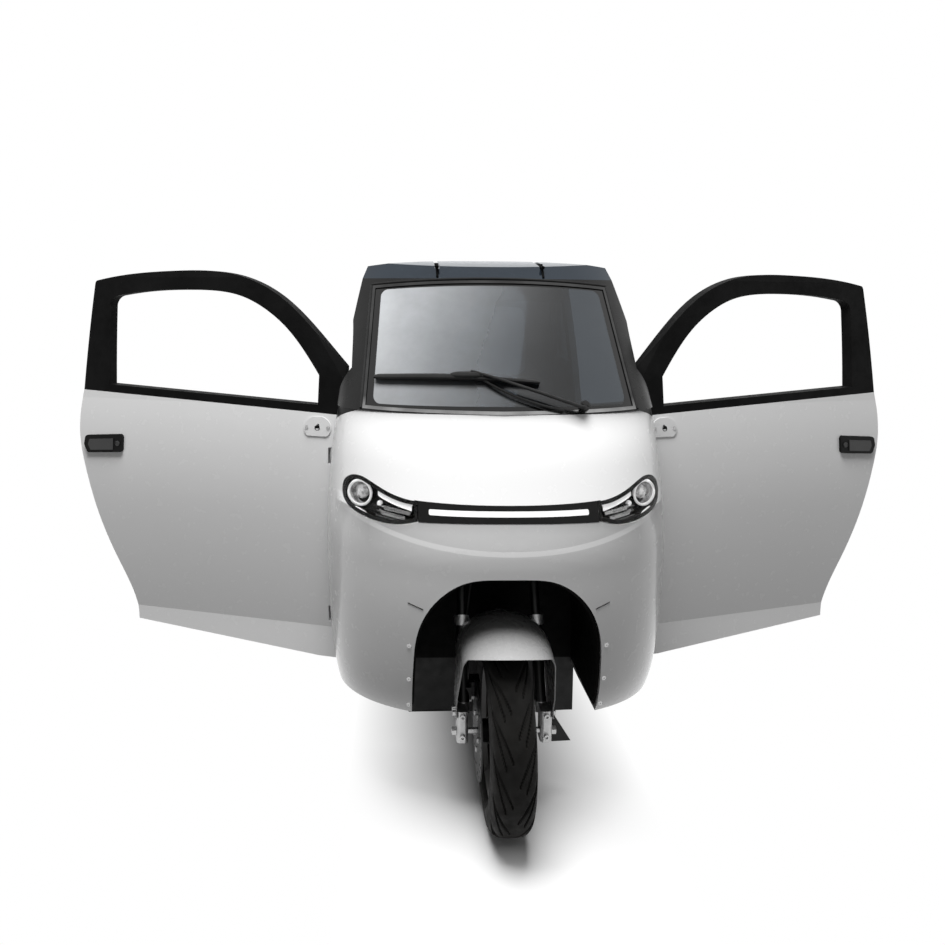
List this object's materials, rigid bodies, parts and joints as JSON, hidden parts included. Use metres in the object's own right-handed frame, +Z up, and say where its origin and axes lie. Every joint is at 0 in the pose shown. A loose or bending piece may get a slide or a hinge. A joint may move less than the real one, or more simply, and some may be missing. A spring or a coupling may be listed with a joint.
{
  "type": "enclosed electric tricycle",
  "caption": "Enclosed electric tricycle with a steered front wheel, driven rear wheels, front-hinged doors standing open, driver seat and rear bench",
  "frame": {"origin": "on the ground under the middle of the length and width, doors open as they stand", "axes": "+Z up, -Y the way the vehicle drives, +X its left side"},
  "size_m": [2.7732, 2.19, 1.5691],
  "materials": {
    "aluminium": "cast aluminium",
    "battery_case": "battery case",
    "black_gloss": "gloss black moulding",
    "black_matte": "grained matt black",
    "cast": "cast housing",
    "chrome_trim": "bright strip",
    "floor_mat": "floor mat",
    "frame_black": "black powder coat",
    "glass": "clear safety glass",
    "grip_rubber": "grip rubber",
    "guard_grey": "light grey moulding",
    "lamp_glass": "clear lamp lens",
    "light_diffuser": "white diffuser",
    "rim_black": "black cast rim",
    "rim_steel": "silver pressed wheel",
    "seat_cloth": "dark seat cover",
    "steel": "bare steel",
    "tail_lens": "red lens",
    "tyre": "tyre rubber",
    "white_paint": "gloss white paint"
  },
  "bodies": {
    "body": {"battery": "battery_case", "bench_backrest": "seat_cloth", "bench_base": "frame_black", "bench_cushion": "seat_cloth", "chassis": "frame_black", "dashboard": "black_matte", "door_hinge_leaves": "steel", "driver_seat_backrest": "seat_cloth", "driver_seat_cushion": "seat_cloth", "driver_seat_frame": "frame_black", "floor_pan": "floor_mat", "front_wheel_liner": "black_matte", "headlamps": "lamp_glass", "leaf_springs": "steel", "light_bar": "black_gloss", "light_strip": "light_diffuser", "nose_panel": "white_paint", "plate_bracket": "frame_black", "quarter_panel_left": "white_paint", "quarter_panel_right": "white_paint", "quarter_windows": "glass", "rear_axle": "cast", "rear_bumper": "black_matte", "rear_panel": "white_paint", "rear_wheelhouses": "black_matte", "rear_window": "glass", "roof": "black_gloss", "screen_surround": "black_gloss", "tail_lamps": "tail_lens", "windscreen": "glass", "windscreen_trim": "chrome_trim"},
    "steering": {"fork": "aluminium", "front_axle": "steel", "front_mudguard": "guard_grey", "handlebar": "aluminium", "handlebar_grips": "grip_rubber"},
    "front_wheel": {"front_tyre": "tyre", "front_rim": "rim_black", "brake_disc": "steel"},
    "rear_wheel_left": {"rear_tyre_left": "tyre", "rear_rim_left": "rim_steel", "rear_hub_left": "cast"},
    "rear_wheel_right": {"rear_tyre_right": "tyre", "rear_rim_right": "rim_steel", "rear_hub_right": "cast"},
    "door_left": {"door_skin_left": "white_paint", "door_window_frame_left": "black_matte", "door_handle_left": "black_matte", "mirror_base_plate_left": "guard_grey", "door_hinge_pins_left": "steel"},
    "door_right": {"door_skin_right": "white_paint", "door_window_frame_right": "black_matte", "door_handle_right": "black_matte", "mirror_base_plate_right": "guard_grey", "door_hinge_pins_right": "steel"}
  },
  "joints": [
    {"name": "steering", "type": "hinge", "parent": "body", "child": "steering", "pos_m": [0, -0.812, 0.251], "axis": [0, 0.4226, 0.9063], "range_deg": [-30, 30]},
    {"name": "front_wheel_turn", "type": "hinge", "parent": "steering", "child": "front_wheel", "pos_m": [0, -0.844, 0.251], "axis": [1, 0, 0], "continuous": true},
    {"name": "rear_wheel_left_turn", "type": "hinge", "parent": "body", "child": "rear_wheel_left", "pos_m": [0.42, 0.636, 0.247], "axis": [1, 0, 0], "continuous": true},
    {"name": "rear_wheel_right_turn", "type": "hinge", "parent": "body", "child": "rear_wheel_right", "pos_m": [-0.42, 0.636, 0.247], "axis": [1, 0, 0], "continuous": true},
    {"name": "door_left_swing", "type": "hinge", "parent": "body", "child": "door_left", "pos_m": [0.504, -0.49, 0.6], "axis": [0, 0, 1], "range_deg": [0, 75]},
    {"name": "door_right_swing", "type": "hinge", "parent": "body", "child": "door_right", "pos_m": [-0.504, -0.49, 0.6], "axis": [0, 0, -1], "range_deg": [0, 75]}
  ]
}
